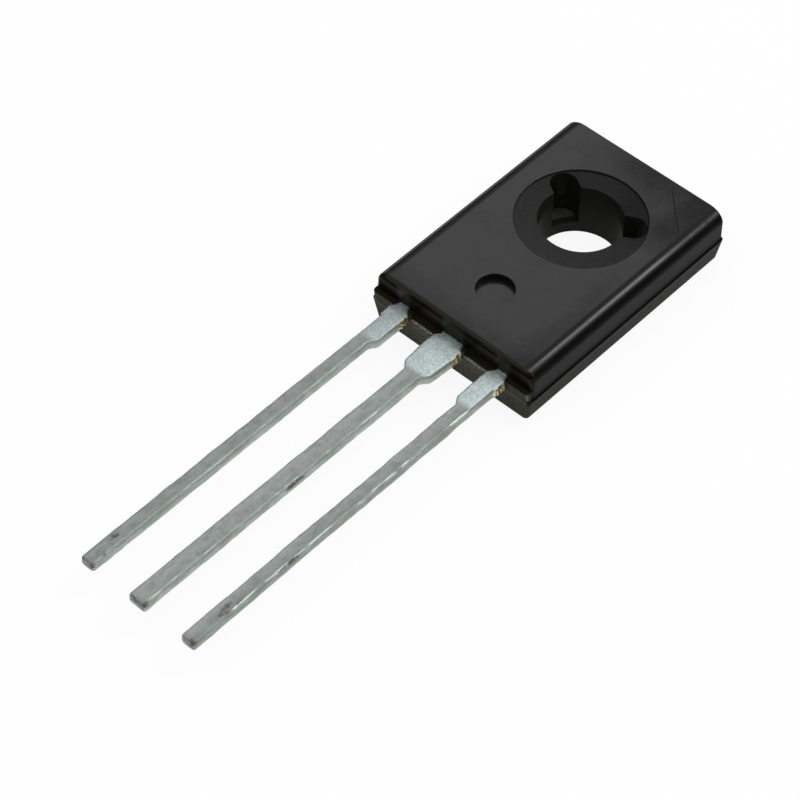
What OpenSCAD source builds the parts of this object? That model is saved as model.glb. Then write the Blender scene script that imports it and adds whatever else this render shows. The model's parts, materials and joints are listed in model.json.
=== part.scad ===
// Silicon controlled rectifier in a flat moulded package with a screw hole and three leads.
// It lies on its metal mounting face: the origin is the middle of the screw hole at that face,
// +Z points out of the front face and the leads point along -Y.
// From -X to +X the leads are cathode, anode and gate.

/* [Moulded body] */
// Width across the long sides at the parting line
body_w = 7.35; // [7:0.05:8.4]
// From the middle of the screw hole to the far end
hole_to_far_end = 3.77; // [3.6:0.01:4.6]
// From the middle of the screw hole to the lead end
hole_to_lead_end = 7.06; // [6.8:0.01:8]
// Thickness from the mounting face to the front face
body_t = 2.32; // [2.24:0.02:2.8]
// Height of the parting line above the mounting face
parting_z = 1.1; // [0.95:0.05:1.25]
// Taper of the lower half, on each long side and at the lead end
lower_draft = 0.2; // [0.05:0.01:0.28]
// Taper of the lower half at the far end
far_draft = 0.03; // [0.01:0.01:0.1]
// Taper of the upper half, on every side
upper_draft = 0.02; // [0.01:0.01:0.08]
// How far the upper half steps in at the parting line
parting_step = 0.07; // [0.03:0.01:0.09]
// How far the two long front edges are rounded in from the sides
edge_run = 0.56; // [0.3:0.02:0.7]
// How far they are rounded down from the front face
edge_drop = 0.45; // [0.3:0.02:0.6]
// Radius of the upright corners
corner_r = 0.16; // [0.08:0.01:0.3]
// Depth of the ledge in front of the upper half at the lead end
ledge_d = 0.24; // [0.12:0.02:0.4]
// How far the ledge lies below the top of the leads
ledge_drop = 0.05; // [0.02:0.01:0.12]
// How far the trimmed ledge between the leads lies below the rest of it
trim_drop = 0.18; // [0.05:0.01:0.25]
// Diameter of the ejector mark in the front face
ejector_d = 1.42; // [1:0.02:1.8]
// Depth of the ejector mark
ejector_depth = 0.26; // [0.05:0.01:0.3]
// From the middle of the screw hole to the middle of the ejector mark
hole_to_ejector = 4.64; // [4.2:0.01:5.2]

/* [Screw hole] */
// Diameter of the screw hole
hole_d = 3.14; // [2.8:0.02:3.3]
// Diameter of the shallow seat around the screw hole
seat_d = 4.82; // [4.7:0.02:5.2]
// Depth of the seat
seat_depth = 0.06; // [0.03:0.01:0.12]
// Width of the two round-ended notches beside the hole
notch_w = 1.02; // [0.7:0.02:1.2]
// Angle of the right notch from the +X axis; the left one mirrors it
notch_angle = 31; // [28:1:38]
// Gap between the round end of a notch and the rim of the seat
notch_gap = 0.03; // [0.02:0.01:0.15]

/* [Lead frame] */
// Thickness of the sheet that the heat spreader and the leads are stamped from
sheet_t = 0.45; // [0.4:0.01:0.55]
// Distance between the middles of neighbouring leads
pitch = 2.29; // [2.2:0.01:2.5]
// Length of the leads outside the lead end
lead_len = 15.1; // [8:0.1:17]
// Width of the two outer leads
outer_lead_w = 0.6; // [0.5:0.01:0.7]
// Width of the anode lead
anode_lead_w = 0.74; // [0.62:0.01:0.86]
// Width of the outer leads where they leave the body
outer_root_w = 0.45; // [0.36:0.01:0.5]
// Width of the anode lead where it leaves the body
anode_root_w = 0.92; // [0.7:0.01:0.96]
// How far the shoulder of an outer lead stands in towards the anode lead
outer_shoulder = 0.2; // [0.1:0.01:0.26]
// How far the shoulders of the anode lead stand out on each side
anode_shoulder = 0.31; // [0.1:0.01:0.36]
// From the lead end to the outer corner of the shoulders
shoulder_end = 1.6; // [1.2:0.05:2.4]
// Length over which the shoulders narrow to the leads
shoulder_taper = 0.3; // [0.15:0.05:0.6]
// Width of the stubs where the tie bar between the leads was sheared off
tie_bar_w = 0.5; // [0.3:0.05:0.7]
// How far the sheared stubs stand out of the leads
tie_stub = 0.07; // [0.03:0.01:0.12]
// Width of the exposed heat spreader
spreader_w = 6; // [5.4:0.1:6.2]
// Plastic between the heat spreader and the far end
spreader_rim = 0.5; // [0.4:0.05:0.8]
// How far the buried lip of the heat spreader stands out to lock it in the plastic
lip_w = 0.16; // [0.08:0.01:0.22]
// Thickness of the lip
lip_t = 0.25; // [0.15:0.01:0.3]
// Plastic sleeve between the screw hole and the hole in the heat spreader
sleeve_t = 0.315; // [0.2:0.005:0.32]
// Run of the bend from the heat spreader up to the anode lead
bend_run = 0.9; // [0.7:0.05:1.1]
// Width of the bonding flags of the two outer leads
flag_w = 1.95; // [1.6:0.05:2]
// Length of the bonding flags
flag_len = 1.15; // [1:0.05:1.3]
// Plastic between the bonding flags and the end wall
flag_inset = 0.65; // [0.5:0.05:0.8]
// Plastic between the bonding flags and the anode lead
flag_gap = 0.45; // [0.35:0.01:0.5]
// Diameter of the anchor hole in each bonding flag
anchor_d = 0.5; // [0.3:0.05:0.6]
// From the outer edge of a bonding flag to the middle of its anchor hole
anchor_inset = 0.39; // [0.36:0.01:0.5]
// From the inner edge of a bonding flag to the middle of the wire's foot
post_inset = 0.78; // [0.6:0.02:0.9]

/* [Chip and wires] */
// Side of the square thyristor chip
chip_w = 1.9; // [1.6:0.05:2.1]
// Thickness of the chip
chip_t = 0.24; // [0.18:0.01:0.3]
// Width of the etched moat around the top of the chip
moat_w = 0.16; // [0.08:0.01:0.2]
// Depth of the moat
moat_depth = 0.07; // [0.04:0.01:0.1]
// Thickness of the solder under the chip
solder_t = 0.05; // [0.03:0.01:0.08]
// How far the solder stands out around the chip
solder_rim = 0.08; // [0.04:0.01:0.12]
// Gap between the chip and the hole in the heat spreader
chip_to_hole = 0.4; // [0.3:0.05:0.6]
// Gap between the chip and the bend of the heat spreader
chip_to_bend = 0.35; // [0.25:0.05:0.6]
// Diameter of the cathode wire
cathode_wire_d = 0.36; // [0.25:0.01:0.4]
// Diameter of the gate wire
gate_wire_d = 0.18; // [0.12:0.01:0.25]
// How far a wire bows out of the straight line between its ends
wire_bow = 0.36; // [0.3:0.01:0.42]

/* [Hidden] */
$fn = 72;

corner_steps = 8;    // flats around an upright corner
edge_steps = 16;     // flats around a long front edge
over = 0.5;          // how far a cutter runs past the surface that it opens
neck_in = 0.25;      // how far a lead's neck runs into its bonding flag

// Places on the chip, each as a share of its side from the middle
cathode_pad_at = [-0.22, 0.08];
gate_pad_at = [0.28, -0.24];
// The flattened foot of a wire, as shares of the wire's diameter: along, across and up
foot_shares = [1.5, 1.3, 0.8];

hole_r = hole_d / 2;
seat_r = seat_d / 2;
spreader_hole_r = hole_r + sleeve_t;

// Heights
lead_bottom = parting_z;
lead_top = lead_bottom + sheet_t;
ledge_z = lead_top - ledge_drop;
chip_bottom = sheet_t + solder_t;
chip_top = chip_bottom + chip_t;

// Places along Y
end_wall = hole_to_lead_end - ledge_d;
lead_tip = hole_to_lead_end + lead_len;
spreader_far = hole_to_far_end - spreader_rim;
chip_y = -(spreader_hole_r + chip_to_hole + chip_w / 2);
bend_low = chip_y - chip_w / 2 - chip_to_bend;
bend_high = bend_low - bend_run;
flag_end = -(end_wall - flag_inset);
flag_y = flag_end + flag_len / 2;

// The bend keeps the thickness of the sheet, so its lower corners lie this much nearer the lead end
bend_shift = sheet_t * (norm([bend_run, lead_bottom]) - bend_run) / lead_bottom;

// Lead edges, measured from the middle of the package
outer_edge = pitch + outer_lead_w / 2;
inner_edge = pitch - outer_lead_w / 2;
flag_inner = anode_root_w / 2 + flag_gap;

// Wire ends: on the chip's top, and on the flags
cathode_pad = [cathode_pad_at.x * chip_w, chip_y + cathode_pad_at.y * chip_w, chip_top];
gate_pad = [gate_pad_at.x * chip_w, chip_y + gate_pad_at.y * chip_w, chip_top];
cathode_post = [-(flag_inner + post_inset), flag_y, lead_top];
gate_post = [flag_inner + post_inset, flag_y, lead_top];

// Half outline of the anode lead outside the end wall, from the root to the tip
anode_side = [
    [anode_root_w / 2, -end_wall],
    [anode_lead_w / 2 + anode_shoulder, -hole_to_lead_end - tie_stub],
    [anode_lead_w / 2 + anode_shoulder, -hole_to_lead_end - tie_stub - tie_bar_w],
    [anode_lead_w / 2 + anode_shoulder - tie_stub, -hole_to_lead_end - shoulder_end],
    [anode_lead_w / 2, -hole_to_lead_end - shoulder_end - shoulder_taper],
    [anode_lead_w / 2, -lead_tip]
];

plastic = [0.17, 0.17, 0.18];
tinned = [0.70, 0.72, 0.71];
nickel = [0.62, 0.60, 0.56];
silicon = [0.38, 0.40, 0.46];
solder = [0.66, 0.67, 0.68];
aluminium = [0.82, 0.83, 0.85];

function mix(a, b, t) = a + (b - a) * t;

// One level of a lofted block: height, half width, near end and far end, each end a Y value
function level_ring(level) = [
    for (corner = [0 : 3], step = [0 : corner_steps])
        let (
            side = corner == 0 || corner == 3 ? 1 : -1,
            end_y = corner < 2 ? level[3] - corner_r : level[2] + corner_r,
            turn = 90 * (corner + step / corner_steps)
        )
        [
            side * (level[1] - corner_r) + corner_r * cos(turn),
            end_y + corner_r * sin(turn),
            level[0]
        ]
];

// A closed block through a list of levels, lowest first
module loft(levels) {
    ring = 4 * (corner_steps + 1);
    top = len(levels) - 1;
    polyhedron(
        points = [for (level = levels) each level_ring(level)],
        faces = [
            [for (i = [0 : ring - 1]) i],
            [for (i = [ring - 1 : -1 : 0]) top * ring + i],
            for (k = [0 : top - 1], i = [0 : ring - 1])
                [k * ring + i, (k + 1) * ring + i, (k + 1) * ring + (i + 1) % ring, k * ring + (i + 1) % ring]
        ],
        convexity = 4
    );
}

// The lower half leans out from the mounting face to the parting line
function lower_near(z) = -(hole_to_lead_end - lower_draft * (1 - z / ledge_z));

module lower_half() {
    loft([
        [0, body_w / 2 - lower_draft, lower_near(0), hole_to_far_end - far_draft],
        [parting_z, body_w / 2, lower_near(parting_z), hole_to_far_end]
    ]);
}

// The upper half leans in towards the front face, and its long edges are a quarter of an ellipse
function upper_level(z, inset) =
    let (rise = (z - parting_z) / (body_t - parting_z), lean = parting_step + upper_draft * rise)
    [z, body_w / 2 - lean - inset, -(end_wall + upper_draft * (1 - rise)), hole_to_far_end - lean];

module upper_half() {
    loft([
        upper_level(parting_z, 0),
        for (step = [0 : edge_steps])
            let (turn = 90 * step / edge_steps)
            upper_level(body_t - edge_drop * (1 - sin(turn)), edge_run * (1 - cos(turn)))
    ]);
}

// The ledge carries the lower half's end face up, in one plane, past the parting line
module lead_ledge() {
    behind = -end_wall + over;
    half_w = body_w / 2 - parting_step;
    loft([
        [parting_z, half_w, lower_near(parting_z), behind],
        [ledge_z, half_w, lower_near(ledge_z), behind]
    ]);
}

// Between the leads the ledge was trimmed with the tie bar
module tie_bar_trims() {
    near = inner_edge - outer_shoulder;
    far = anode_lead_w / 2 + anode_shoulder;
    back = end_wall + upper_draft;
    for (side = [-1, 1])
        translate([side * (near + far) / 2, -back - over / 2, ledge_z - trim_drop + over / 2])
            cube([near - far, over, over], center = true);
}

module screw_hole() {
    translate([0, 0, -over])
        cylinder(r = hole_r, h = body_t + 2 * over);
    translate([0, 0, body_t - seat_depth])
        cylinder(r = seat_r, h = over);
}

// Round-ended notches open the hole's wall from the seat down to the heat spreader
module hole_notches() {
    end_x = seat_r - notch_gap - notch_w / 2;
    for (side = [0, 1])
        mirror([side, 0, 0])
            rotate(notch_angle)
                translate([0, 0, sheet_t])
                    linear_extrude(body_t) {
                        translate([end_x, 0])
                            circle(d = notch_w);
                        translate([0, -notch_w / 2])
                            square([end_x, notch_w]);
                    }
}

module ejector_mark() {
    translate([0, -hole_to_ejector, body_t - ejector_depth])
        cylinder(d = ejector_d, h = over);
}

module case() {
    color(plastic)
        difference() {
            union() {
                lower_half();
                upper_half();
                lead_ledge();
            }
            tie_bar_trims();
            screw_hole();
            hole_notches();
            ejector_mark();
            anode_frame();
            cathode_lead();
            gate_lead();
            thyristor_chip();
            chip_solder();
            cathode_wire();
            gate_wire();
        }
}

// Exposed plate with a lip all round that the plastic holds down
module heat_spreader() {
    spreader_len = spreader_far - bend_low;
    middle = (spreader_far + bend_low) / 2;
    difference() {
        union() {
            translate([-spreader_w / 2, bend_low, 0])
                cube([spreader_w, spreader_len, sheet_t]);
            translate([0, middle, sheet_t - lip_t / 2])
                cube([spreader_w + 2 * lip_w, spreader_len + 2 * lip_w, lip_t], center = true);
        }
        translate([0, 0, -over])
            cylinder(r = spreader_hole_r, h = sheet_t + 2 * over);
    }
}

// Side view of the bend between the heat spreader and the anode lead
module anode_bend() {
    translate([-anode_root_w / 2, 0, 0])
        rotate([90, 0, 90])
            linear_extrude(anode_root_w)
                polygon([
                    [bend_low + over, 0], [bend_low + over, sheet_t], [bend_low, sheet_t],
                    [bend_high, lead_top], [-end_wall, lead_top], [-end_wall, lead_bottom],
                    [bend_high - bend_shift, lead_bottom], [bend_low - bend_shift, 0]
                ]);
}

module anode_frame() {
    color(nickel) {
        heat_spreader();
        anode_bend();
    }
    color(tinned)
        translate([0, 0, lead_bottom])
            linear_extrude(sheet_t)
                polygon([
                    each anode_side,
                    for (i = [len(anode_side) - 1 : -1 : 0]) [-anode_side[i].x, anode_side[i].y]
                ]);
}

// Outer lead on the +X side: shoulder towards the anode lead, sheared stub on the outside
module outer_lead() {
    shoulder_edge = inner_edge - outer_shoulder;
    root_out = outer_edge - outer_shoulder / 2;
    stub_near = -hole_to_lead_end - tie_stub;
    stub_far = stub_near - tie_bar_w;
    translate([0, 0, lead_bottom])
        linear_extrude(sheet_t)
            difference() {
                union() {
                    polygon([
                        [root_out - outer_root_w, flag_end + neck_in], [root_out - outer_root_w, -end_wall],
                        [shoulder_edge, stub_near], [shoulder_edge, -hole_to_lead_end - shoulder_end],
                        [inner_edge, -hole_to_lead_end - shoulder_end - shoulder_taper], [inner_edge, -lead_tip],
                        [outer_edge, -lead_tip], [outer_edge, stub_far], [outer_edge + tie_stub, stub_far],
                        [outer_edge + tie_stub, stub_near], [root_out, -end_wall], [root_out, flag_end + neck_in]
                    ]);
                    translate([flag_inner, flag_end])
                        square([flag_w, flag_len]);
                }
                translate([flag_inner + flag_w - anchor_inset, flag_y])
                    circle(d = anchor_d);
            }
}

module cathode_lead() {
    color(tinned)
        mirror([1, 0, 0])
            outer_lead();
}

module gate_lead() {
    color(tinned)
        outer_lead();
}

module thyristor_chip() {
    mesa_w = chip_w - 2 * moat_w;
    color(silicon)
        translate([0, chip_y, chip_bottom]) {
            translate([-chip_w / 2, -chip_w / 2, 0])
                cube([chip_w, chip_w, chip_t - moat_depth]);
            translate([-mesa_w / 2, -mesa_w / 2, 0])
                cube([mesa_w, mesa_w, chip_t]);
        }
}

module chip_solder() {
    solder_w = chip_w + 2 * solder_rim;
    color(solder)
        translate([-solder_w / 2, chip_y - solder_w / 2, sheet_t])
            cube([solder_w, solder_w, solder_t]);
}

// A wire on one circular arc in an upright plane, with a flattened foot at each end
module bond_wire(from, to, d) {
    span = norm([to.x - from.x, to.y - from.y]);
    rise = to.z - from.z;
    chord = norm([span, rise]);
    arc_r = (chord ^ 2 / 4 + wire_bow ^ 2) / (2 * wire_bow);
    sink = (arc_r - wire_bow) / chord;
    mid_s = span / 2 + rise * sink;
    mid_z = from.z + d / 2 + rise / 2 - span * sink;
    turn_from = atan2(from.z + d / 2 - mid_z, -mid_s);
    turn_to = atan2(to.z + d / 2 - mid_z, span - mid_s);
    foot = d * foot_shares;
    translate([from.x, from.y, 0])
        rotate(atan2(to.y - from.y, to.x - from.x)) {
            translate([mid_s, 0, mid_z])
                rotate([90, 0, 0])
                    rotate(turn_to)
                        rotate_extrude(angle = turn_from - turn_to)
                            translate([arc_r, 0])
                                circle(d = d, $fn = 24);
            translate([-foot.x / 2, -foot.y / 2, from.z])
                cube(foot);
            translate([span - foot.x / 2, -foot.y / 2, to.z])
                cube(foot);
        }
}

module cathode_wire() {
    color(aluminium)
        bond_wire(cathode_pad, cathode_post, cathode_wire_d);
}

module gate_wire() {
    color(aluminium)
        bond_wire(gate_pad, gate_post, gate_wire_d);
}

case();
anode_frame();
cathode_lead();
gate_lead();
thyristor_chip();
chip_solder();
cathode_wire();
gate_wire();
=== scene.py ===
"""Looks of a silicon controlled rectifier in a flat moulded package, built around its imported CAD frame.

Meshes are made in millimetres in the frame's axes: +Z out of the front face, leads along -Y.
"""

import json
import math
from types import SimpleNamespace

import bmesh
import bpy
from mathutils import Matrix, Vector, noise


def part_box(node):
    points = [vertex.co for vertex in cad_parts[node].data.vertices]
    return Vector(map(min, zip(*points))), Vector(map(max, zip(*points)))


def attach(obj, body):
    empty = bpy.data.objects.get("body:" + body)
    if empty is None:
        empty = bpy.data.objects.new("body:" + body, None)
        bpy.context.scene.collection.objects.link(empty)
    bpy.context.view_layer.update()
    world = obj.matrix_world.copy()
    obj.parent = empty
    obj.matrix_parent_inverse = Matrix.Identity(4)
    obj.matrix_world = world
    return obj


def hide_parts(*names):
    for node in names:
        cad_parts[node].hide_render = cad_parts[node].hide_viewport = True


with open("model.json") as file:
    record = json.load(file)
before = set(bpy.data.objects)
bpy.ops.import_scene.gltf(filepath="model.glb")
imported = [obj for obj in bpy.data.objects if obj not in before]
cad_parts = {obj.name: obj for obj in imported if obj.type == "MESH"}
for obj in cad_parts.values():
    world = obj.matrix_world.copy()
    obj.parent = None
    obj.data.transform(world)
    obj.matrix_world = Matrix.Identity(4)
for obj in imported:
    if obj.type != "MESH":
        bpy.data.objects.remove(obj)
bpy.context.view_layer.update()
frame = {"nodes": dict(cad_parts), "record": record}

# ---------------------------------------------------------------- sizes, in millimetres

MM = 0.001
MICROMETRE = 0.000001


def node_box(node):
    """A CAD node's lowest and highest corner, in millimetres."""
    return [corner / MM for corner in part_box(node)]


MOUNTS = {mount["name"]: mount for mount in frame["record"]["mounts"]}
CASE_LOW, CASE_HIGH = node_box("case")
LEAD_LOW, LEAD_HIGH = node_box("gate_lead")

HALF_WIDTH = CASE_HIGH.x
FAR_END = CASE_HIGH.y
LEAD_END = CASE_LOW.y
FRONT_Z = CASE_HIGH.z
PARTING_Z = LEAD_LOW.z
LEAD_TOP = LEAD_HIGH.z
LEAD_TIP = LEAD_LOW.y
PITCH = MOUNTS["gate_pin"]["pos_m"][0] / MM
HOLE_R = MOUNTS["screw_hole"]["dims"]["r_mm"]
SEAT_DEPTH = FRONT_Z - MOUNTS["screw_hole"]["dims"]["length_mm"]

LOWER_DRAFT = 0.2
FAR_DRAFT = 0.03
UPPER_DRAFT = 0.02
PARTING_STEP = 0.07
PARTING_CHAMFER = 0.075
CHAMFER_SHARE = 0.94
LONG_EDGE_RUN = 0.56
LONG_EDGE_DROP = 0.45
CORNER_R = 0.16
UPPER_FAR_CORNER_R = 0.11
LEDGE_DEPTH = 0.24
LEDGE_DROP = 0.05
TRIM_DROP = 0.18
END_WALL = LEAD_END + LEDGE_DEPTH
LEDGE_Z = LEAD_TOP - LEDGE_DROP

SEAT_R = 2.41
NOTCH_W = 1.02
NOTCH_ANGLE = 31
NOTCH_RIM = 0.03
NOTCH_FLOOR = 0.45
EJECTOR_R = 0.71
EJECTOR_DEPTH = 0.26
EJECTOR_Y = -4.64

# The tie bar was cut away between the leads: the near and far side of the gap, and of its torn resin
TRIM_SIDES = (0.68, 1.79)
FLASH_SIDES = (0.72, 1.74)

# Small roundings of the case, and what they leave alone: the metal underneath and the leads' openings
NEAR_EDGE_R = 0.14
FRONT_EDGE_R = 0.03
MARK_EDGE_R = 0.012
SEAT_EDGE_R = 0.025
OUTER_EDGE_R = 0.02
METAL_HALF_WIDTH = 3.01
METAL_NEAR_Y = -6.7
OPENING_HALF_WIDTH = 0.5
OPENING_SLACK = 0.02
LEDGE_BAND = (LEDGE_Z - 0.25, 1.6)

CORNER_STEPS = 8
EDGE_STEPS = 16
ROUND_STEPS = 128
CUT_PAST = 0.5
FIT = 0.003

# Points closer than WELD are one, heights within SAME are equal, and a point within BESIDE is on a rim
WELD = 0.0005
SAME = 0.001
BESIDE = 0.01

# Angles between faces, in degrees: still flat, sharp enough to round, and shaded as a crease
FLAT = 0.5
SHARP = 32
CREASE = 42

# ---------------------------------------------------------------- mesh helpers


def link_object(name, data):
    """A new object in the scene that shows a mesh, a lamp or a camera."""
    made = bpy.data.objects.new(name, data)
    bpy.context.scene.collection.objects.link(made)
    return made


def shell_object(name, shell):
    """A new object in the scene that takes over a bmesh."""
    mesh = bpy.data.meshes.new(name)
    shell.to_mesh(mesh)
    shell.free()
    return link_object(name, mesh)


def finish_piece(shell, name, material, replaced=()):
    """A bmesh in millimetres becomes a smooth-shaded piece that rides on the part."""
    bmesh.ops.scale(shell, vec=(MM, MM, MM), verts=shell.verts)
    bmesh.ops.recalc_face_normals(shell, faces=shell.faces)
    for face in shell.faces:
        face.smooth = True
    for edge in shell.edges:
        edge.smooth = len(edge.link_faces) == 2 and edge.calc_face_angle() < math.radians(CREASE)
    piece = shell_object(name, shell)
    piece.data.materials.append(material)
    even = piece.modifiers.new("even_normals", "WEIGHTED_NORMAL")
    even.keep_sharp = True
    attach(piece, "root")
    if replaced:
        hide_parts(*replaced)
    return piece


def welded_node(node):
    """A CAD node's mesh as one closed bmesh in millimetres, its flat faces made whole."""
    shell = bmesh.new()
    shell.from_mesh(frame["nodes"][node].data)
    bmesh.ops.scale(shell, vec=(1 / MM, 1 / MM, 1 / MM), verts=shell.verts)
    bmesh.ops.remove_doubles(shell, verts=shell.verts, dist=WELD)
    bmesh.ops.dissolve_limit(
        shell, angle_limit=math.radians(FLAT), verts=shell.verts, edges=shell.edges
    )
    return shell


def cavity(node):
    """The space in the moulding that a CAD node fills, a hair wider so that cavities run together."""
    shell = welded_node(node)
    bmesh.ops.recalc_face_normals(shell, faces=shell.faces)
    shell.normal_update()
    for vertex in shell.verts:
        vertex.co += vertex.normal * FIT
    return shell


def loft(shell, rings):
    """Closed skin through rings of equal length, lowest first."""
    made = [[shell.verts.new(point) for point in ring] for ring in rings]
    count = len(made[0])
    for low, high in zip(made, made[1:]):
        for i in range(count):
            j = (i + 1) % count
            shell.faces.new((low[i], low[j], high[j], high[i]))
    shell.faces.new(reversed(made[0]))
    shell.faces.new(made[-1])


def prism(outline, bottom, top):
    """A closed block that stands on an outline of X, Y points."""
    shell = bmesh.new()
    loft(shell, [[(x, y, z) for x, y in outline] for z in (bottom, top)])
    return shell


def circle(radius, centre=(0, 0)):
    """The points of a fine circle."""
    turns = [2 * math.pi * step / ROUND_STEPS for step in range(ROUND_STEPS)]
    return [(centre[0] + radius * math.cos(t), centre[1] + radius * math.sin(t)) for t in turns]


def combine(shell, tools, operation):
    """The bmesh after an exact union or difference with each tool in turn."""
    body = scratch_object(shell)
    for tool in tools:
        other = scratch_object(tool)
        change = body.modifiers.new(operation, "BOOLEAN")
        change.operation = operation
        change.solver = "EXACT"
        change.object = other
        view = bpy.context.evaluated_depsgraph_get()
        result = bpy.data.meshes.new_from_object(body.evaluated_get(view))
        body.modifiers.clear()
        body.data = result
        bpy.data.objects.remove(other)
    joined = bmesh.new()
    joined.from_mesh(body.data)
    bpy.data.objects.remove(body)
    bmesh.ops.remove_doubles(joined, verts=joined.verts, dist=WELD)
    return joined


def scratch_object(shell):
    """A short-lived object that holds a bmesh for a boolean."""
    bmesh.ops.recalc_face_normals(shell, faces=shell.faces)
    return shell_object("scratch", shell)


def soften(shell, width, wanted, steps=3):
    """Rounds the sharp outward edges that wanted(edge's two ends) picks."""
    picked = [
        edge
        for edge in shell.edges
        if len(edge.link_faces) == 2
        and edge.calc_face_angle_signed() > math.radians(SHARP)
        and wanted(edge.verts[0].co, edge.verts[1].co)
    ]
    bmesh.ops.bevel(
        shell,
        geom=picked,
        offset=width,
        offset_type="OFFSET",
        segments=steps,
        profile=0.5,
        affect="EDGES",
        clamp_overlap=False,
    )


# ---------------------------------------------------------------- moulded case


def level_ring(z, half_width, near, far, far_radius=CORNER_R):
    """A round-cornered level of the case."""
    ring = []
    for corner, (side, end) in enumerate(((1, far), (-1, far), (-1, near), (1, near))):
        radius = far_radius if corner < 2 else CORNER_R
        middle_x = side * (half_width - radius)
        middle_y = end - radius if corner < 2 else end + radius
        for step in range(CORNER_STEPS + 1):
            turn = math.radians(90 * (corner + step / CORNER_STEPS))
            ring.append((middle_x + radius * math.cos(turn), middle_y + radius * math.sin(turn), z))
    return ring


def lower_near(z):
    """Where the lower half's lead end stands at a height."""
    return LEAD_END + LOWER_DRAFT * (1 - z / LEDGE_Z)


def upper_level(z, inset=0.0):
    """A level of the upper half, which leans in towards the front face."""
    rise = (z - PARTING_Z) / (FRONT_Z - PARTING_Z)
    lean = PARTING_STEP + UPPER_DRAFT * rise
    near = END_WALL - UPPER_DRAFT * (1 - rise)
    return level_ring(z, HALF_WIDTH - lean - inset, near, FAR_END - lean, UPPER_FAR_CORNER_R)


def case_halves():
    """Both mouldings as one solid; the long front edges are a quarter of a flat ellipse."""
    halves = bmesh.new()
    turned_in = PARTING_STEP * CHAMFER_SHARE
    below = PARTING_Z - PARTING_CHAMFER
    half_width = HALF_WIDTH - LOWER_DRAFT * PARTING_CHAMFER / PARTING_Z
    rings = [
        level_ring(0, HALF_WIDTH - LOWER_DRAFT, lower_near(0), FAR_END - FAR_DRAFT),
        level_ring(below, half_width, lower_near(below), FAR_END),
        level_ring(PARTING_Z, HALF_WIDTH - turned_in, lower_near(PARTING_Z), FAR_END - turned_in),
        upper_level(PARTING_Z),
    ]
    for step in range(EDGE_STEPS + 1):
        turn = math.radians(90 * step / EDGE_STEPS)
        drop = LONG_EDGE_DROP * (1 - math.sin(turn))
        rings.append(upper_level(FRONT_Z - drop, LONG_EDGE_RUN * (1 - math.cos(turn))))
    loft(halves, rings)
    return halves


def lead_ledge():
    """The ledge carries the lower half's end face up to the leads."""
    ledge = bmesh.new()
    behind = END_WALL + CUT_PAST
    half_width = HALF_WIDTH - PARTING_STEP - UPPER_DRAFT
    low_z = PARTING_Z - PARTING_CHAMFER
    loft(ledge, [level_ring(z, half_width, lower_near(z) + FIT, behind) for z in (low_z, LEDGE_Z)])
    return ledge


def box(low, high):
    """A closed box between two corners."""
    (x0, y0, z0), (x1, y1, z1) = low, high
    return prism([(x0, y0), (x1, y0), (x1, y1), (x0, y1)], z0, z1)


def tie_bar_trims():
    """The ledge was cut lower between the leads, with the tie bar."""
    near, far = TRIM_SIDES
    low_z = LEDGE_Z - TRIM_DROP
    low_y, high_y = LEAD_END - CUT_PAST, END_WALL - UPPER_DRAFT / 2
    return [
        box((left, low_y, low_z), (right, high_y, low_z + CUT_PAST))
        for left, right in ((near, far), (-far, -near))
    ]


def hole_notches():
    """Round-ended notches that open the hole's wall down to the heat spreader."""
    end_x = SEAT_R - NOTCH_RIM - NOTCH_W / 2
    half = NOTCH_W / 2
    steps = ROUND_STEPS // 4
    turns = [math.pi * (step / steps - 0.5) for step in range(steps + 1)]
    outline = [(0, half), (0, -half)] + [
        (end_x + half * math.cos(t), half * math.sin(t)) for t in turns
    ]
    notches = []
    for angle in (NOTCH_ANGLE, 180 - NOTCH_ANGLE):
        notch = prism(outline, NOTCH_FLOOR, FRONT_Z + CUT_PAST)
        turn = Matrix.Rotation(math.radians(angle), 4, "Z")
        bmesh.ops.transform(notch, matrix=turn, verts=notch.verts)
        notches.append(notch)
    return notches


def case_cutters():
    """What is cut out of the moulding: trims, notches, hole, seat, mark, and the metal inside."""
    above = FRONT_Z + CUT_PAST
    held = [node for node in frame["nodes"] if node != "case"]
    return [
        *tie_bar_trims(),
        *hole_notches(),
        prism(circle(HOLE_R), -CUT_PAST, above),
        prism(circle(SEAT_R), FRONT_Z - SEAT_DEPTH, above),
        prism(circle(EJECTOR_R, (0, EJECTOR_Y)), FRONT_Z - EJECTOR_DEPTH, above),
        *(cavity(node) for node in held),
    ]


def on_near_edge(a, b):
    """The front face's edge above the leads."""
    return min(a.z, b.z) > FRONT_Z - SAME and max(a.y, b.y) < END_WALL + CORNER_R


def on_mark_rim(a, b):
    """The rim of the ejector mark, which an edge is on when its first end is."""
    return abs((a.xy - Vector((0, EJECTOR_Y))).length - EJECTOR_R) < BESIDE


def on_front(a, b):
    """The front face's other edges, but not the mark's."""
    away = min(a.y, b.y) > END_WALL + CORNER_R and not on_mark_rim(a, b)
    return away and min(a.z, b.z) > FRONT_Z - SAME


def on_seat(a, b):
    """The edges of the seat's floor."""
    return abs(a.z - b.z) < SAME and abs(a.z - FRONT_Z + SEAT_DEPTH) < SAME


def near_lead_opening(point):
    """True at the rims of the three openings that the leads fill."""
    in_band = PARTING_Z - OPENING_SLACK < point.z < LEAD_TOP + OPENING_SLACK
    return in_band and min(abs(point.x), abs(abs(point.x) - PITCH)) < OPENING_HALF_WIDTH


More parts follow.
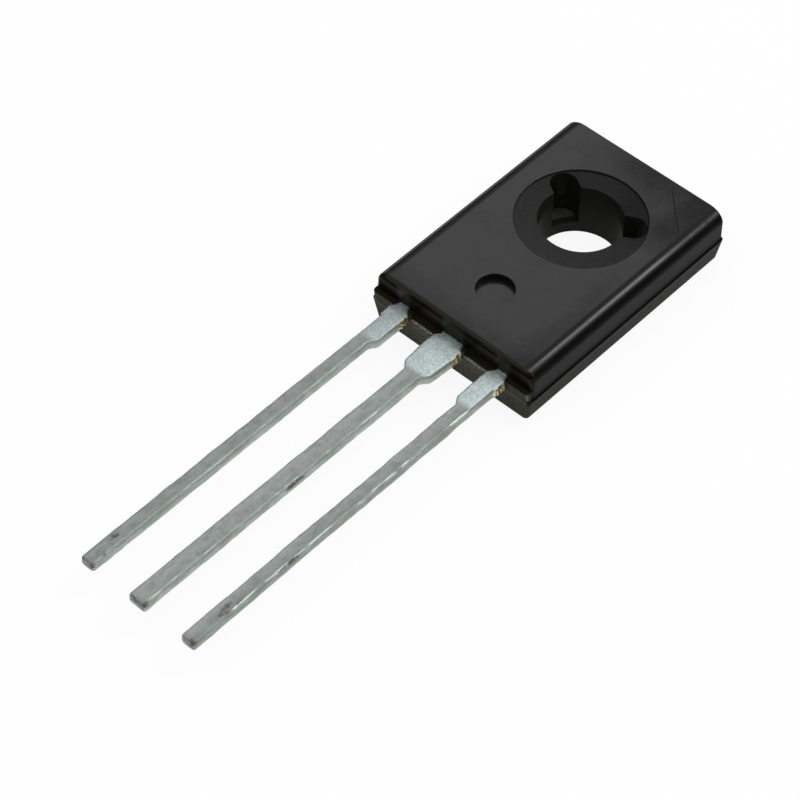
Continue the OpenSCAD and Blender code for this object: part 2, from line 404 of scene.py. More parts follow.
def on_outside(a, b):
    """The outer edges of the underside and of the ledge."""
    round_metal = max(abs(a.x), abs(b.x)) < METAL_HALF_WIDTH and min(a.y, b.y) > METAL_NEAR_Y
    underside = max(a.z, b.z) < SAME and not round_metal
    low, high = LEDGE_BAND
    in_band = low < min(a.z, b.z) and max(a.z, b.z) < high
    ledge = in_band and max(a.y, b.y) < END_WALL + BESIDE
    return (underside or ledge) and not near_lead_opening(a)


def build_case(material):
    """The black moulding, cut for the hole, the seat, the mark, the metal and the chip."""
    cutters = case_cutters()
    shell = combine(case_halves(), [lead_ledge()], "UNION")
    shell = combine(shell, cutters, "DIFFERENCE")
    soften(shell, NEAR_EDGE_R, on_near_edge, 5)
    soften(shell, FRONT_EDGE_R, on_front)
    soften(shell, MARK_EDGE_R, on_mark_rim, 2)
    soften(shell, SEAT_EDGE_R, on_seat, 2)
    soften(shell, OUTER_EDGE_R, on_outside, 2)
    return finish_piece(shell, "epoxy_case", material, ["case"])


# ---------------------------------------------------------------- leads and anode frame

STATION = 0.08
CUT_STATION = 0.4 * STATION
TIP_SHARES = (0, 0.08, 0.25, 0.55, 1)
TOP_ROUND = 0.13
BOTTOM_ROUND = 0.08
TIP_ROUND = 0.10
TIP_TAPER = 0.8
TIP_FLAT = 0.005
ROUND_POINTS = 5
MOST_OF_HEIGHT = 0.4
MOST_OF_HALF_WIDTH = 0.8
BURIED = 0.35
HELD_FROM = END_WALL + 0.02
SHOULDER_END = LEAD_END - 1.75
CUT_NEAR = LEAD_END - 0.02
CUT_FAR = LEAD_END - 0.60
CUT_BAND = (CUT_FAR - 0.15, CUT_NEAR + 0.1)
SIDEWAYS = 0.6

# Lumps as widths and depths: those of the plating, how far the skin sinks under them, the torn cuts'
LUMPS = ((1.1, 0.020), (0.3, 0.012))
LUMP_SINK = 0.008
TORN_LUMP = (0.12, 0.03)


def roughened(point, size, depth, seed):
    """An even random push, in millimetres, at a point."""
    return depth * noise.noise(Vector(point) / size + Vector((seed, seed, seed)))


def top_outline(shell):
    """The straight edges of a lead's top face outside the case, each as two X, Y points."""
    top = [edge for edge in shell.edges if min(v.co.z for v in edge.verts) > LEAD_TOP - SAME]
    sides = [[tuple(v.co.xy) for v in edge.verts] for edge in top]
    return [side for side in sides if min(side[0][1], side[1][1]) < END_WALL - BESIDE]


def lead_edges(outline, y):
    """The lowest and highest X of a lead at a station."""
    found = []
    for (x0, y0), (x1, y1) in outline:
        if min(y0, y1) <= y <= max(y0, y1) and abs(y1 - y0) > SAME:
            found.append(x0 + (x1 - x0) * (y - y0) / (y1 - y0))
    return min(found), max(found)


def lead_section(left, right, y, inset):
    """A rectangle with well-rounded upper corners and tighter lower ones."""
    section = []
    middle = (left + right) / 2
    half = (right - left) / 2 - inset
    low, high = PARTING_Z + inset, LEAD_TOP - inset
    corners = (
        (1, high, TOP_ROUND, 0),
        (-1, high, TOP_ROUND, 90),
        (-1, low, BOTTOM_ROUND, 180),
        (1, low, BOTTOM_ROUND, 270),
    )
    for side, level, radius, start in corners:
        radius = min(radius, MOST_OF_HEIGHT * (high - low), MOST_OF_HALF_WIDTH * half)
        centre_x = middle + side * (half - radius)
        centre_z = level - radius if level == high else level + radius
        for step in range(ROUND_POINTS):
            turn = math.radians(start + 90 * step / (ROUND_POINTS - 1))
            section.append((centre_x + radius * math.cos(turn), y, centre_z + radius * math.sin(turn)))
        if start in (0, 180):
            section.append((middle, y, level))
    return section


def lead_stations():
    """Where the sections of a lead stand: close together at the tip and at the sheared cuts."""
    stations = [LEAD_TIP + TIP_ROUND * share for share in TIP_SHARES]
    while stations[-1] < END_WALL - STATION:
        near_cut = CUT_BAND[0] < stations[-1] < CUT_BAND[1]
        stations.append(stations[-1] + (CUT_STATION if near_cut else STATION))
    return stations


def shaped_lead(outline, seed):
    """The plated lead outside the case, lofted from its tip, with a lumpy skin."""
    shell = bmesh.new()
    rings = []
    for y in lead_stations():
        left, right = lead_edges(outline, max(y, LEAD_TIP + SAME))
        from_round = max(0, TIP_ROUND - (y - LEAD_TIP))
        inset = TIP_ROUND - math.sqrt(TIP_ROUND**2 - from_round**2)
        rings.append(lead_section(left, right, y, TIP_TAPER * inset))
    last = rings[-1]
    rings += [[(x, y, z) for x, _, z in last] for y in (END_WALL, END_WALL + BURIED)]
    loft(shell, rings)
    bmesh.ops.recalc_face_normals(shell, faces=shell.faces)
    shell.normal_update()
    for vertex in shell.verts:
        if LEAD_TIP + TIP_FLAT < vertex.co.y < END_WALL - BESIDE:
            push = sum(roughened(vertex.co, size, depth, seed) for size, depth in LUMPS)
            if CUT_FAR < vertex.co.y < CUT_NEAR and abs(vertex.normal.x) > SIDEWAYS:
                push += roughened(vertex.co, *TORN_LUMP, seed)
            vertex.co += vertex.normal * (push - LUMP_SINK)
    return shell


def build_lead(node, seed, material):
    """A stamped, tin-plated lead with what holds it inside the case, as one solid."""
    held = welded_node(node)
    outline = top_outline(held)
    cut = bmesh.ops.bisect_plane(
        held,
        geom=held.verts[:] + held.edges[:] + held.faces[:],
        plane_co=(0, HELD_FROM, 0),
        plane_no=(0, -1, 0),
        clear_outer=True,
    )
    rim = [item for item in cut["geom_cut"] if isinstance(item, bmesh.types.BMEdge)]
    bmesh.ops.edgeloop_fill(held, edges=rim)
    shell = combine(shaped_lead(outline, seed), [held], "UNION")
    return finish_piece(shell, "tinned_" + node, material, [node])


# ---------------------------------------------------------------- resin flash

FLASH_STEPS = 30
FLASH_FRONT = LEAD_END + 0.015
FLASH_TAPER = 6
FLASH_END = 0.05

# How far the resin stands out and up, and the width and depth of its raggedness
FLASH_OUT, FLASH_OUT_LUMP = 0.05, (0.12, 0.07)
FLASH_UP, FLASH_UP_LUMP = 0.035, (0.08, 0.05)


def build_flash(name, left, right, seed, material):
    """A ragged line of torn resin along the trimmed ledge between two leads."""
    shell = bmesh.new()
    level = LEDGE_Z - TRIM_DROP
    rings = []
    for step in range(FLASH_STEPS + 1):
        x = left + (right - left) * step / FLASH_STEPS
        ends = min(1, FLASH_TAPER * min(step, FLASH_STEPS - step) / FLASH_STEPS) + FLASH_END
        out = (FLASH_OUT + roughened((x, 0, 0), *FLASH_OUT_LUMP, seed)) * ends
        high = (FLASH_UP + roughened((x, 0, 0), *FLASH_UP_LUMP, seed + 3)) * ends
        upper = ((0.06, 0.0), (0.03, high), (-0.4 * out, high * 0.8))
        lower = ((-out, 0.0), (-0.3 * out, -0.04), (0.04, -0.05))
        rings.append([(x, FLASH_FRONT + dy, level + dz) for dy, dz in upper + lower])
    loft(shell, rings)
    return finish_piece(shell, name, material)


# ---------------------------------------------------------------- shader maths

PLASTIC_IOR = 1.5
DULL_IOR = 1.05


class Wire:
    """An output socket. Arithmetic on it adds Math nodes, and node() adds any other node."""

    def __init__(self, tree, socket=None):
        self.tree = tree
        self.socket = socket

    def node(self, kind, settings=None, sockets=None, output=0):
        """Adds one node: its settings first, then the values or links of its sockets."""
        made = self.tree.nodes.new("ShaderNode" + kind)
        for name, value in (settings or {}).items():
            setattr(made, name, value)
        for name, value in (sockets or {}).items():
            if isinstance(value, Wire):
                self.tree.links.new(value.socket, made.inputs[name])
            else:
                made.inputs[name].default_value = value
        return Wire(self.tree, made.outputs[output])

    def maths(self, operation, first, second=0.0):
        return self.node("Math", {"operation": operation}, {0: first, 1: second})

    def __add__(self, other):
        return self.maths("ADD", self, other)

    __radd__ = __add__

    def __mul__(self, other):
        return self.maths("MULTIPLY", self, other)

    __rmul__ = __mul__

    def __sub__(self, other):
        return self.maths("SUBTRACT", self, other)

    def __rsub__(self, other):
        return self.maths("SUBTRACT", other, self)

    def __truediv__(self, other):
        return self.maths("DIVIDE", self, other)

    def __pow__(self, other):
        return self.maths("POWER", self, other)

    def __abs__(self):
        return self.maths("ABSOLUTE", self)

    def least(self, other):
        return self.maths("MINIMUM", self, other)

    def most(self, other):
        return self.maths("MAXIMUM", self, other)

    def rise(self, low, high):
        """0 below low and 1 above high, smoothly between; it falls instead where low is the larger."""
        return self.node(
            "MapRange",
            {"interpolation_type": "SMOOTHSTEP"},
            {"Value": self, "From Min": low, "From Max": high},
        )

    def within(self, low, high, edge):
        """1 between low and high, with soft edges."""
        return self.rise(low - edge, low + edge) * self.rise(high + edge, high - edge)

    def colours(self, low, high):
        """Mixes two colours, each a tuple or a Wire, by this value."""
        low, high = (c if isinstance(c, Wire) else (*c, 1) for c in (low, high))
        return self.node("Mix", {"data_type": "RGBA"}, {0: self, 6: low, 7: high}, output=2)

    def scaled(self, factor):
        """This colour or place, times a value."""
        return self.node("VectorMath", {"operation": "SCALE"}, {0: self, "Scale": factor})

    def to_surface(self):
        """Shows this shader as the material's surface."""
        output = self.tree.nodes["Material Output"]
        self.tree.links.new(self.socket, output.inputs["Surface"])


class Finish:
    """One material: its place in millimetres, and what feeds its shader."""

    def __init__(self, name, **fixed):
        self.material = bpy.data.materials.new(name)
        self.material.use_nodes = True
        self.tree = self.material.node_tree
        self.shader = self.tree.nodes["Principled BSDF"]
        for socket, value in fixed.items():
            self.shader.inputs[socket.replace("_", " ")].default_value = value
        start = Wire(self.tree)
        self.place = start.node("TexCoord", output="Object").scaled(1 / MM)
        self.x, self.y, self.z = (
            start.node("SeparateXYZ", {}, {0: self.place}, output=axis) for axis in range(3)
        )
        normal = start.node("NewGeometry", output="Normal")
        self.facing_x, self.facing_up = (
            start.node("SeparateXYZ", {}, {0: normal}, output=axis) for axis in (0, 2)
        )

    def stretched(self, along):
        """The place, with its Y shortened so that a pattern runs along the leads."""
        squeeze = (1, along, 1)
        return self.place.node("VectorMath", {"operation": "MULTIPLY"}, {0: self.place, 1: squeeze})

    def grain(self, size, detail=2.0, rough=0.6, place=None, seed=0.0):
        """Noise around 0.5 whose lumps are about size millimetres wide."""
        place = place or self.place
        shifted = place.node("VectorMath", {"operation": "ADD"}, {0: place, 1: (seed, seed, seed)})
        return shifted.node(
            "TexNoise", {}, {"Vector": shifted, "Scale": 1 / size, "Detail": detail, "Roughness": rough}
        )

    def distance(self, centre):
        """How far a point lies from a centre, in plan."""
        across = (self.x - centre[0]) * (self.x - centre[0])
        along = (self.y - centre[1]) * (self.y - centre[1])
        return (across + along) ** 0.5

    def feed(self, height=None, dull=None, **wires):
        """Links what varies, a height in micrometres as a bump and dull as the share without sheen."""
        if height is not None:
            bump = {"Height": height, "Distance": MICROMETRE, "Strength": 1.0}
            wires["Normal"] = height.node("Bump", {}, bump)
        sockets = {socket.replace("_", " "): wire for socket, wire in wires.items()}
        for socket, wire in sockets.items():
            self.tree.links.new(wire.socket, self.shader.inputs[socket])
        if dull is not None:
            bright = Wire(self.tree, self.shader.outputs[0])
            sheenless = dull.node("BsdfPrincipled", {}, {**sockets, "IOR": DULL_IOR})
            dull.node("MixShader", {}, {0: dull, 1: bright, 2: sheenless}).to_surface()
        return self.material


# ---------------------------------------------------------------- finishes

CHAMFER_FOOT = PARTING_Z - PARTING_CHAMFER
SCRATCH_CENTRE = (16.12, 16.35)
SCRATCH_R = 19.59

# The moulding's colours, dark or middle first where there are two
CLEAN_EPOXY = ((0.0050, 0.0052, 0.0048), (0.0080, 0.0068, 0.0078))
# Lighter and greenish at the lead end: a painted reflection of the leads
LEAD_END_PAINTED_REFLECTION = (0.0085, 0.0092, 0.0045)
# Painted shade on the end wall between the leads, and painted light on the trimmed ledge below it that
# offsets its shade
BETWEEN_LEADS_PAINTED_SHADE = (0.0052, 0.0045, 0.0024)
TRIMMED_LEDGE_PAINTED_LIGHT = (0.017, 0.0145, 0.009)
ERODED_WALL = (0.026, 0.028, 0.023)
# The eroded end face: painted lighter than the side wall to offset the leads' shade, darker towards its
# sides, and lighter at the cathode-side corner
ERODED_END_WITH_PAINTED_LIGHT = ((0.060, 0.062, 0.048), (0.040, 0.041, 0.028))
ERODED_CORNER = (0.062, 0.063, 0.052)
# Painted highlight on the rounded near corner of the ledge at the gate side
GATE_CORNER_PAINTED_HIGHLIGHT = (0.12, 0.14, 0.125)
# Walls of the hole and the notches, painted lighter than the moulding: painted light, lighter still
# towards the bottom
HOLE_WALL = (0.0135, 0.0135, 0.0120)
NOTCH_WALL = (0.0075, 0.0078, 0.0050)
TORN_RESIN = ((0.03, 0.03, 0.025), (0.22, 0.22, 0.19))


def epoxy_places(epoxy):
    """The places of the moulding that look different, each 1 inside and 0 outside."""
    x, y, z, facing_up = epoxy.x, epoxy.y, epoxy.z, epoxy.facing_up
    at = SimpleNamespace()
    from_axis = epoxy.distance((0, 0))
    at.in_hole = from_axis.rise(SEAT_R + 0.012, SEAT_R + 0.004)
    at.in_notch = from_axis.rise(HOLE_R + 0.01, HOLE_R + 0.03)
    near_front = z.rise(FRONT_Z - SEAT_DEPTH - 0.03, FRONT_Z - SEAT_DEPTH - 0.01)
    at.seat = at.in_hole * near_front
    at.hole_wall = at.in_hole * (1 - near_front)
    at.upright = facing_up.rise(0.92, 0.74)
    ledge_front = y.rise(END_WALL - 0.16, END_WALL - 0.18) * z.rise(LEDGE_Z, LEDGE_Z - 0.02)
    low = z.rise(CHAMFER_FOOT - 0.11, CHAMFER_FOOT - 0.17)
    at.below = low.most(ledge_front) * at.upright * (1 - at.in_hole)
    seam = z.within(CHAMFER_FOOT - 0.14, PARTING_Z - 0.04, 0.03)
    at.seam = seam * (1 - at.in_hole) * (1 - ledge_front)

    # Painted shade: the end wall between the leads, below the front face
    over_leads = abs(x).rise(0.60, 0.32).most(abs(abs(x) - PITCH).rise(0.44, 0.14))
    at.soot = (1 - over_leads) * z.rise(FRONT_Z + 0.01, FRONT_Z - 0.15)
    # The trimmed ledge, where the painted shade between the leads turns lighter
    at.sheared = z.rise(LEDGE_Z + 0.04, LEDGE_Z - 0.02)
    end_turn = z.rise(FRONT_Z - 0.30, FRONT_Z - 0.25) * y.rise(END_WALL + 0.25, END_WALL + 0.10)
    at.lead_end = end_turn.most(y.rise(END_WALL + 0.01, END_WALL - 0.01)) * (1 - at.below)
    # Painted highlight: the rounded near corner of the ledge at the gate side
    corner = epoxy.facing_x.within(0.45, 0.92, 0.15) * x.rise(HALF_WIDTH - 0.30, HALF_WIDTH - 0.28)
    on_ledge = z.within(PARTING_Z + 0.04, LEDGE_Z - 0.03, 0.04)
    at.worn = corner * y.rise(END_WALL, END_WALL - 0.03) * on_ledge
    scratch = abs(epoxy.distance(SCRATCH_CENTRE) - SCRATCH_R).rise(0.024, 0.008)
    at.scratch = scratch * x.within(1.5, 3.0, 0.1) * y.within(1.7, 3.5, 0.1)
    return at


def epoxy_colour(epoxy, at, clouds, coarse):
    """Near black as moulded; at the lead end a painted reflection of the leads and painted shade between
    them; eroded to grey below, with painted light on the end face; a painted highlight at one corner.
    """
    x, y, z = epoxy.x, epoxy.y, epoxy.z
    colour = clouds.rise(0.35, 0.65).colours(*CLEAN_EPOXY)
    # Painted reflection of the leads on the lead end
    colour = at.lead_end.colours(colour, LEAD_END_PAINTED_REFLECTION)
    # Between the leads the end wall is painted with shade, lighter on the trimmed ledge
    sooty = at.sheared.colours(BETWEEN_LEADS_PAINTED_SHADE, TRIMMED_LEDGE_PAINTED_LIGHT)
    colour = (at.lead_end * at.soot).colours(colour, sooty)
    # Painted light: the eroded end face is lighter than the side wall, offsetting the leads' shade, and
    # darker towards its sides
    end_face = abs(x).rise(0.8, 3.2).colours(*ERODED_END_WITH_PAINTED_LIGHT)
    end_face = x.rise(-3.35, -3.55).colours(end_face, ERODED_CORNER)
    eroded = y.rise(LEAD_END + 0.3, LEAD_END + 0.2).colours(ERODED_WALL, end_face)
    colour = at.below.colours(colour, eroded.scaled(coarse * 2.0))
    # Painted highlight at the gate-side corner of the ledge
    colour = (at.worn * 0.9).colours(colour, GATE_CORNER_PAINTED_HIGHLIGHT)
    # Painted light: the hole's and notches' walls grow lighter towards the bottom, as if lit from below
    wall = at.in_notch.colours(HOLE_WALL, NOTCH_WALL)
    return at.hole_wall.colours(colour, wall.scaled(1.1 + z.rise(1.6, 0.1) * 1.3))


def epoxy_dullness(epoxy, at, clouds, mottle):
    """The share without sheen: the front fades in patches, and the walls and the hole are dull."""
    x, y, z, facing_up = epoxy.x, epoxy.y, epoxy.z, epoxy.facing_up
    far_side = 0.55 * y.rise(0.5, 4.2) * x.rise(-3.0, 0.8)
    fading = far_side.most(0.58 * y.rise(-0.3, 1.8) * x.rise(1.2, 2.5))
    fading = fading + 0.3 * y.rise(-5.3, -7.0) + 0.25 * x.rise(2.0, 2.9) * y.rise(0.8, -4.5)
    dull = fading + (clouds - 0.5) * 0.5 + (mottle - 0.5) * 0.4
    seat_dull = 0.56 + y * 0.064 + 0.14 * x.rise(0.0, 1.1) * y.rise(0.0, 1.1)
    dull = dull.most(at.seat * (seat_dull + (mottle - 0.5) * 0.3))
    edge_start = facing_up.within(0.950, 0.996, 0.004) * z.rise(FRONT_Z - 0.2, FRONT_Z - 0.1)
    dull = dull.most(edge_start * 0.65)
    wall_foot = z.rise(PARTING_Z + 0.38, PARTING_Z) * 0.11
    wall_dull = 0.82 + facing_up.rise(-0.1, 0.78) * 0.18 + wall_foot
    walls = at.upright * wall_dull * (1 - at.lead_end) * (1 - at.seat)
    dull = dull.most(walls).most(at.hole_wall * 0.972).most(at.scratch)
    dull = dull.most(at.lead_end * (0.78 + at.soot * 0.22)).most(at.seam)
    return dull.least(1.0)


def epoxy_finish():
    """Black moulding compound: a satin front face, duller walls and an eroded lower half."""
    epoxy = Finish("moulded_black_epoxy", IOR=PLASTIC_IOR)
    clouds = epoxy.grain(1.4, 3.0)
    fine = epoxy.grain(0.05)
    coarse = epoxy.grain(0.11, 3.0, 0.65, seed=4.0)
    mottle = epoxy.grain(0.22, 3.0, 0.7, seed=9.0)
    at = epoxy_places(epoxy)
    rough = 0.22 + (clouds - 0.5) * 0.10 + (fine - 0.5) * 0.05 + at.below * 0.25 + at.seat * 0.25
    height = (fine - 0.5) * (0.6 + at.seat * 2.5) + (coarse - 0.5) * at.below * 16.0
    return epoxy.feed(
        Base_Color=epoxy_colour(epoxy, at, clouds, coarse),
        Roughness=rough,
        height=height - at.scratch * 4.0,
        dull=epoxy_dullness(epoxy, at, clouds, mottle),
    )


def torn_resin_finish():
    """Torn edges of the moulding compound, dull and paler than its moulded skin."""
    torn = Finish("torn_resin", IOR=PLASTIC_IOR)
    crumbs = torn.grain(0.06, 3.0, 0.7)
    colour = crumbs.rise(0.35, 0.6).colours(*TORN_RESIN)
    return torn.feed(Base_Color=colour, Roughness=0.55 + crumbs * 0.2, height=(crumbs - 0.5) * 30.0)


# Stains of each lead: X and Y of the middle and reach across and along in millimetres, and strength
STAINS = {
    "cathode_lead": (
        (-1.98, -22.12, 0.20, 0.16, 0.9),
        (-2.18, -21.61, 0.20, 0.25, 0.7),
        (-2.36, -20.82, 0.16, 0.40, 0.8),
    ),
    "anode_frame": (
        (0.41, -22.07, 0.20, 0.20, 0.9),
        (0.37, -15.10, 0.05, 0.50, 1.2),
        (0.00, -9.60, 0.30, 0.40, 0.3),
    ),
    "gate_lead": (
        (2.57, -22.08, 0.25, 0.20, 1.0),
        (2.38, -20.30, 0.20, 0.80, 0.9),
        (2.56, -17.65, 0.05, 0.65, 0.9),
    ),
}

# How bright each lead is: its top and how much the top is painted darker towards +X (painted shade), its
# sides (painted light), shoulder and edges (painted highlights)
TOP_TONE = {"cathode_lead": 0.89, "anode_frame": 0.99, "gate_lead": 0.94}
TOP_PAINTED_SHADE_SLOPE = {"cathode_lead": 0.5, "anode_frame": 0.56, "gate_lead": 0.95}
SIDE_PAINTED_LIGHT = {"cathode_lead": 1.36, "anode_frame": 1.38, "gate_lead": 1.16}
SHOULDER_TONE = {"cathode_lead": 0.97, "anode_frame": 1.2, "gate_lead": 1.22}
EDGE_GLINTS = {"cathode_lead": 0.35, "anode_frame": 0.55, "gate_lead": 0.95}

# The plating's colours, dark first where there are two
TIN_TOP = ((0.265, 0.30, 0.285), (0.355, 0.35, 0.36))
TIN_STREAK = (0.38, 0.41, 0.40)
PALE_FLECK = (0.50, 0.45, 0.46)
DARK_FLECK = (0.26, 0.31, 0.29)
TIN_SIDE = ((0.26, 0.29, 0.265), (0.35, 0.385, 0.355))
FROSTED = ((0.36, 0.41, 0.41), (0.50, 0.56, 0.56))
# Painted highlight colour for the rounded top edges
PAINTED_GLINT = (0.74, 0.86, 0.80)
STAIN = (0.095, 0.10, 0.065)
BARE_COPPER = ((0.28, 0.22, 0.085), (0.95, 0.83, 0.48))
# Painted shade: the tin seen deep in the notches, dark and not metallic
NOTCH_METAL_PAINTED_SHADE = (0.044, 0.044, 0.026)


def tin_colour(tin, node, middle_x, at, streaks, spots, flecks):
    """Streaked grey on top, frosted at the shoulder, and plainer down the sides; the top has painted
    shade towards its +X edge, and the sides painted light that grows towards the bottom.
    """
    blotches = tin.grain(0.5, seed=11.0 + middle_x)
    greyish = blotches.rise(0.35, 0.65).colours(*TIN_TOP)
    top = streaks.rise(0.3, 0.7).colours(greyish, TIN_STREAK)
    top = (flecks.rise(0.52, 0.66) * 0.3).colours(top, PALE_FLECK)
    top = (flecks.rise(0.46, 0.34) * 0.35).colours(top, DARK_FLECK)
    # Painted shade: the top darkens towards its +X edge
    top = top.scaled(TOP_TONE[node] - (tin.x - middle_x) * TOP_PAINTED_SHADE_SLOPE[node])
    tone = SHOULDER_TONE[node]
    frosted = spots.rise(0.3, 0.7).colours(*(tuple(tone * c for c in made) for made in FROSTED))
    # Painted light: the sides are lighter than the top, and lighter towards the bottom, as lit from the
    # floor
    side = streaks.rise(0.35, 0.65).colours(*TIN_SIDE)
    side = side.scaled((1.10 - (tin.z - PARTING_Z) * 0.45) * SIDE_PAINTED_LIGHT[node])
    return at.sides.colours(at.shoulder.colours(top, frosted), side)


def tin_dirt(tin, node, streaks, flecks):
    """Soft, mottled stains at the tip and along the upper part of a lead."""
    stained = tin.y.rise(LEAD_TIP + 0.16, LEAD_TIP + 0.02) * 0.85
    for x, y, across, along, strength in STAINS[node]:
        reach = ((((tin.x - x) / across) ** 2.0) + (((tin.y - y) / along) ** 2.0)).rise(1.6, 0.1)
        stained = stained.most(reach * strength)
    stained = stained * tin.z.rise(LEAD_TOP - 0.42, LEAD_TOP - 0.15)
    return (stained * (0.75 + (streaks - 0.5) * 2.6 + (flecks - 0.5) * 1.6)).rise(0.35, 0.95)


def tinned_finish(node, middle_x):
    """Dull tin plating with painted highlights along its broken edges, stains, and bare copper at the
    sheared cuts.
    """
    tin = Finish(node + "_tin")
    streaks = tin.grain(0.22, 3.0, place=tin.stretched(0.3), seed=middle_x)
    spots = tin.grain(0.10, seed=7.0 + middle_x)
    flecks = tin.grain(0.16, seed=23.0 + middle_x)
    leaning = abs(tin.facing_x)
    at = SimpleNamespace()
    at.sides = leaning.rise(0.3, 0.9)
    at.shoulder = tin.y.rise(SHOULDER_END - 0.15, SHOULDER_END + 0.15)
    at.rounded = tin.facing_up.within(0.35, 0.90, 0.12) * leaning.rise(0.3, 0.5) * (1 - at.shoulder)
    at.cut = tin.y.within(CUT_FAR, CUT_NEAR, 0.04) * leaning.rise(0.5, 0.75)
    outside = tin.y.rise(END_WALL + 0.1, END_WALL)
    at.in_notch = (1 - outside) * tin.z.rise(0.3, 0.35)

    glints = tin.grain(0.30, rough=0.7, place=tin.stretched(0.25), seed=17.0 + middle_x)
    glints = at.rounded * glints.rise(0.46, 0.62) * EDGE_GLINTS[node]
    bare = at.cut * streaks.rise(0.28, 0.42)
    colour = tin_colour(tin, node, middle_x, at, streaks, spots, flecks)
    # Painted highlight along the rounded top edges, in broken streaks
    colour = (at.rounded * 0.15).most(glints).colours(colour, PAINTED_GLINT)
    colour = (tin_dirt(tin, node, streaks, flecks) * 0.85).colours(colour, STAIN)
    colour = bare.colours(colour, spots.rise(0.35, 0.62).colours(*BARE_COPPER))
    # In the notches the metal is painted dark and not metallic: painted shade
    return tin.feed(
        Base_Color=at.in_notch.colours(colour, NOTCH_METAL_PAINTED_SHADE),
        Roughness=0.62 - glints * 0.3 - at.shoulder * 0.05 - bare * 0.2,
        Metallic=1 - at.in_notch,
        height=(streaks - 0.5) * 9.0 + (spots - 0.5) * (5.0 + at.cut * 40.0),
    )


INNER_EDGE_R = 0.01
INNER_SHARP = 40


def inner_finish(name, colour, roughness, metallic, grain_size, relief):
    """A plain inner piece: one colour with its own grain, its relief in micrometres."""
    inner = Finish(name, Metallic=metallic)
    grain = inner.grain(grain_size, 3.0)
    dark = tuple(0.75 * channel for channel in colour)
    tone = grain.rise(0.3, 0.7).colours(dark, colour)
    return inner.feed(
        Base_Color=tone, Roughness=roughness + (grain - 0.5) * 0.2, height=(grain - 0.5) * relief
    )


def dress_inner_piece(node, material):
    """A sealed CAD node keeps its shape, with softened edges."""
    piece = frame["nodes"][node]
    piece.data.materials.clear()
    piece.data.materials.append(material)
    weld = piece.modifiers.new("weld", "WELD")
    weld.merge_threshold = WELD * MM
    bevel = piece.modifiers.new("soft_edges", "BEVEL")
    bevel.width = INNER_EDGE_R * MM
    bevel.segments = 2
    bevel.limit_method = "ANGLE"
    bevel.angle_limit = math.radians(INNER_SHARP)
    piece.modifiers.new("even_normals", "WEIGHTED_NORMAL")


# ---------------------------------------------------------------- floor, light and camera, in metres

FLOOR_REACH = 0.6
FLOOR_PAINT = (0.95, 0.95, 0.95, 1)
FLOOR_GLOW = 0.9
CURTAIN_R = 0.5
CURTAIN_HEIGHT = 0.2
CURTAIN_CLOTH = (0.02, 0.02, 0.02, 1)
WHITE = (1, 1, 1, 1)
WORLD_STRENGTH = 0.95
LIT_POINT = (0, -0.006, 0.001)


def stage_material(piece, name):
    """A new material on a piece of the stage, and the start of its nodes."""
    material = bpy.data.materials.new(name)
    material.use_nodes = True
    piece.data.materials.append(material)
    return Wire(material.node_tree)


def build_floor():
    """A wide pale floor that the camera sees as white, with the part's soft shadow on it."""
    sheet = bmesh.new()
    bmesh.ops.create_grid(sheet, x_segments=8, y_segments=8, size=FLOOR_REACH)
    floor = shell_object("floor", sheet)
    start = stage_material(floor, "pale_floor")
    camera, glossy, clear = (
        start.node("LightPath", output=f"Is {kind} Ray")
        for kind in ("Camera", "Glossy", "Transmission")
    )
    seen = camera.most(glossy).most(clear)
    paint = start.node("BsdfDiffuse", {}, {"Color": FLOOR_PAINT})
    glow = start.node("Emission", {}, {"Color": WHITE, "Strength": 1.0})
    start.node("MixShader", {}, {0: seen * FLOOR_GLOW, 1: paint, 2: glow}).to_surface()


def build_surround():
    """A low black curtain round the floor, out of the camera's sight, that the glossy edges mirror."""
    cloth = bmesh.new()
    bmesh.ops.create_cone(
        cloth,
        cap_ends=False,
        segments=64,
        radius1=CURTAIN_R,
        radius2=CURTAIN_R,
        depth=CURTAIN_HEIGHT,
    )
    bmesh.ops.translate(cloth, vec=(0, 0, CURTAIN_HEIGHT / 2), verts=cloth.verts)
    curtain = shell_object("curtain", cloth)
    curtain.visible_camera = False
    start = stage_material(curtain, "black_curtain")
    start.node("BsdfDiffuse", {}, {"Color": CURTAIN_CLOTH}).to_surface()


def build_world():
    """Even white light from all round."""
    world = bpy.data.worlds.new("studio")
    bpy.context.scene.world = world
    world.use_nodes = True
    background = world.node_tree.nodes["Background"]
    background.inputs["Color"].default_value = WHITE
    background.inputs["Strength"].default_value = WORLD_STRENGTH


def softbox(name, towards, distance, width, height, radiance, tint=(1, 1, 1), shape="RECTANGLE"):
    """A soft lamp that lies in a direction from the part and looks back at it."""
    lamp = bpy.data.lights.new(name, "AREA")
    lamp.shape = shape
    lamp.size = width
    lamp.size_y = height
    lamp.color = tint
    area = width * height * (math.pi / 4 if shape == "ELLIPSE" else 1)
    lamp.energy = radiance * math.pi * area
    holder = link_object(name, lamp)
    way = Vector(towards).normalized()
    holder.location = Vector(LIT_POINT) + way * distance
    holder.rotation_mode = "QUATERNION"
    holder.rotation_quaternion = way.to_track_quat("Z", "Y")
    holder.visible_camera = False


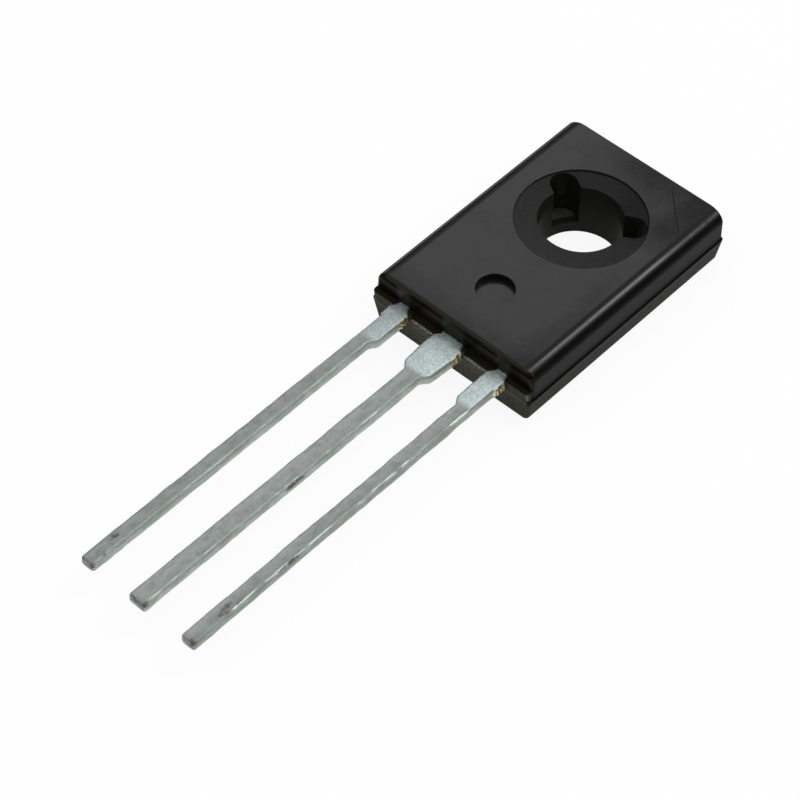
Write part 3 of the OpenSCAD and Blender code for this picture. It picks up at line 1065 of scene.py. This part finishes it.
def build_camera():
    """A long lens close above the part, looking down past its gate side."""
    aim = Vector((0.0465, -9.5718, 0.6278)) * MM
    azimuth, elevation, roll = (math.radians(turn) for turn in (-40.804, 49.804, 1.841))
    distance = 104.09 * MM
    focal_px, image_px, sensor_mm = 3031.1, 800, 36
    back = Vector(
        (
            -math.sin(azimuth) * math.cos(elevation),
            -math.cos(azimuth) * math.cos(elevation),
            math.sin(elevation),
        )
    )
    right = Vector((0, 0, 1)).cross(back).normalized()
    up = back.cross(right)
    side = math.cos(roll) * right + math.sin(roll) * up
    top = math.cos(roll) * up - math.sin(roll) * right
    lens = bpy.data.cameras.new("camera")
    lens.sensor_width = sensor_mm
    lens.lens = focal_px * sensor_mm / image_px
    lens.clip_start = 0.005
    lens.clip_end = 5
    camera = link_object("camera", lens)
    turned = Matrix((side, top, back)).transposed().to_4x4()
    turned.translation = aim + back * distance
    camera.matrix_world = turned
    bpy.context.scene.camera = camera


# ---------------------------------------------------------------- the part

build_camera()
build_floor()
build_surround()
build_world()
softbox(
    "edge_light",
    towards=(0.285, 0.49, 0.81),
    distance=0.35,
    width=0.055,
    height=0.30,
    radiance=5.2,
    tint=(0.95, 0.98, 1.0),
)
softbox(
    "overhead_light",
    towards=(-0.60, 0.38, 0.72),
    distance=0.35,
    width=0.22,
    height=0.22,
    radiance=0.2,
    shape="ELLIPSE",
)

bpy.context.scene.view_settings.view_transform = "Standard"

build_case(epoxy_finish())
torn_resin = torn_resin_finish()
flash_near, flash_far = FLASH_SIDES
build_flash("cathode_side_flash", -flash_far, -flash_near, 2.2, torn_resin)
build_flash("gate_side_flash", flash_near, flash_far, 6.4, torn_resin)
for node, middle_x, seed, slot in (
    ("cathode_lead", -PITCH, 1.3, "lead_metal"),
    ("gate_lead", PITCH, 5.7, "lead_metal"),
    ("anode_frame", 0.0, 9.1, "anode_metal"),
):
    build_lead(node, seed, tinned_finish(node, middle_x))
silicon = inner_finish(
    "metallised_silicon", (0.32, 0.34, 0.40), roughness=0.3, metallic=0.7, grain_size=0.2, relief=1.0
)
solder = inner_finish(
    "soft_solder", (0.55, 0.56, 0.58), roughness=0.45, metallic=1.0, grain_size=0.1, relief=4.0
)
aluminium = inner_finish(
    "drawn_aluminium", (0.80, 0.81, 0.83), roughness=0.3, metallic=1.0, grain_size=0.06, relief=1.5
)
for node, material in (
    ("thyristor_chip", silicon),
    ("chip_solder", solder),
    ("cathode_wire", aluminium),
    ("gate_wire", aluminium),
):
    dress_inner_piece(node, material)
